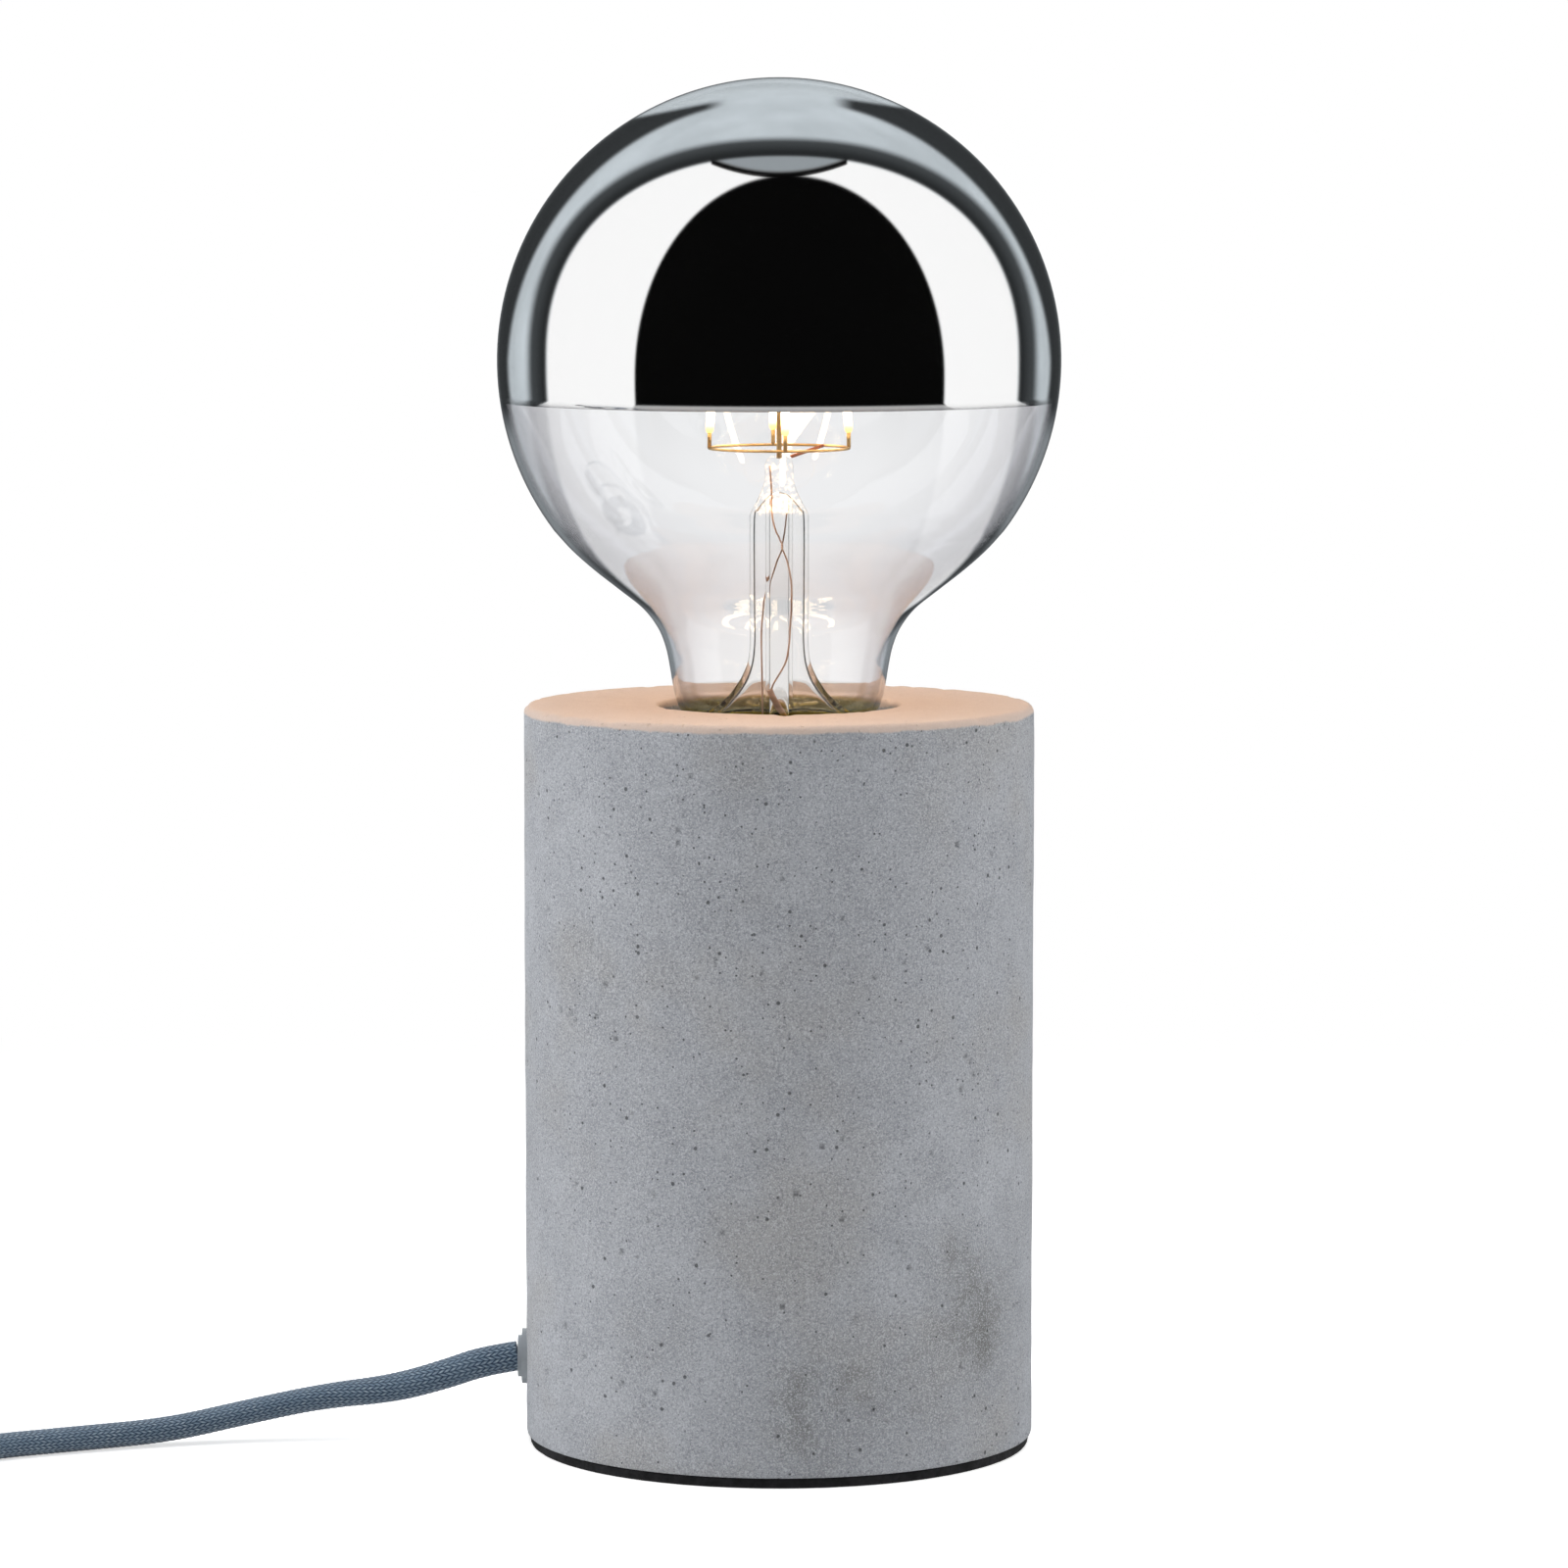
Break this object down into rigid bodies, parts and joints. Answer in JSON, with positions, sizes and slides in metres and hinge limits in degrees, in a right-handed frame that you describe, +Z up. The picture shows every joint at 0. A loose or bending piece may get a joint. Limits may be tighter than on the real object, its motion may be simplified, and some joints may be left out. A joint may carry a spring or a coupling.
{
  "type": "bare bulb table lamp",
  "caption": "Concrete cylinder table lamp with a recessed screw holder, a crown-mirror globe bulb and a braided cord with rocker switch and flat plug.",
  "frame": {"origin": "centre of the underside of the base, on the table", "axes": "+Z up along the cylinder and the bulb; the cord leaves the base towards -X; the picture looks along +Y"},
  "size_m": [0.3847, 0.0951, 0.2317],
  "materials": {
    "cast_concrete": "matte",
    "black_foam": "matte",
    "zinc_steel": "satin",
    "turned_brass": "satin",
    "black_thermoplastic": "matte",
    "white_ceramic": "matte",
    "clear_glass": "polished",
    "mirror_silver": "polished",
    "nickel_plate": "satin",
    "cap_cement": "matte",
    "black_glass": "gloss",
    "tinned_solder": "satin",
    "lit_filament": "matte",
    "copper_wire": "satin",
    "board_green": "matte",
    "pale_grommet": "matte",
    "grip_nylon": "matte",
    "cord_textile": "woven",
    "brown_insulation": "satin",
    "blue_insulation": "satin",
    "tie_webbing": "woven",
    "switch_shell": "matte",
    "rocker_plastic": "gloss",
    "sleeve_rubber": "matte",
    "plug_shell": "matte",
    "pin_nickel": "polished"
  },
  "bodies": {
    "lamp": {"base_pad": "black_foam", "bottom_plate": "zinc_steel", "bottom_plate_inserts": "turned_brass", "bottom_plate_screws": "zinc_steel", "cable_bush": "pale_grommet", "coil_tie": "tie_webbing", "concrete_body": "cast_concrete", "cord_coil": "cord_textile", "cord_grip_block": "grip_nylon", "cord_grip_saddle": "grip_nylon", "cord_grip_screws": "zinc_steel", "cord_inside": "cord_textile", "cord_lead": "cord_textile", "cord_link": "cord_textile", "cord_tail": "cord_textile", "live_wire": "brown_insulation", "lock_nut": "turned_brass", "neutral_wire": "blue_insulation", "plug_body": "plug_shell", "plug_pin_sleeves": "plug_shell", "plug_pins": "pin_nickel", "plug_strain_relief": "sleeve_rubber", "rocker_pin": "zinc_steel", "shelf_washer": "zinc_steel", "socket_base_cap": "black_thermoplastic", "socket_centre_contact": "turned_brass", "socket_insulator_block": "white_ceramic", "socket_outer_shell": "black_thermoplastic", "socket_side_contact": "turned_brass", "socket_terminal_screws": "zinc_steel", "socket_terminals": "turned_brass", "socket_thread_shell": "nickel_plate", "switch_contacts": "turned_brass", "switch_cord_sleeves": "sleeve_rubber", "switch_lower_housing": "switch_shell", "switch_screws": "zinc_steel", "switch_upper_housing": "switch_shell", "threaded_nipple": "zinc_steel"},
    "bulb_tip": {"cap_contact_tip": "tinned_solder"},
    "bulb": {"bulb_glass": "clear_glass", "mirror_coating": "mirror_silver", "bulb_cap_shell": "nickel_plate", "cap_cement": "cap_cement", "cap_insulator": "black_glass", "bulb_stem": "clear_glass", "exhaust_tube": "clear_glass", "led_filaments": "lit_filament", "filament_ring_lower": "turned_brass", "filament_ring_upper": "turned_brass", "filament_lead_wires": "copper_wire", "ring_support_wire": "copper_wire", "driver_board": "board_green", "driver_wires": "copper_wire"},
    "rocker": {"switch_rocker": "rocker_plastic"}
  },
  "joints": [
    {"name": "bulb_rise", "type": "slide", "parent": "lamp", "child": "bulb_tip", "axis": [0, 0, 1], "range_m": [0, 0.01633]},
    {"name": "bulb_unscrew", "type": "hinge", "parent": "bulb_tip", "child": "bulb", "pos_m": [0, 0, 0.1], "axis": [0, 0, 1], "range_deg": [0, 1620]},
    {"name": "switch_rocker", "type": "hinge", "parent": "lamp", "child": "rocker", "pos_m": [-0.2677, 0.0298, 0.0138], "axis": [0, 1, 0], "range_deg": [-16, 0]}
  ],
  "couplings": [
    {"joint": "bulb_rise", "follows": "bulb_unscrew", "m_per_rad": 0.00057751}
  ]
}
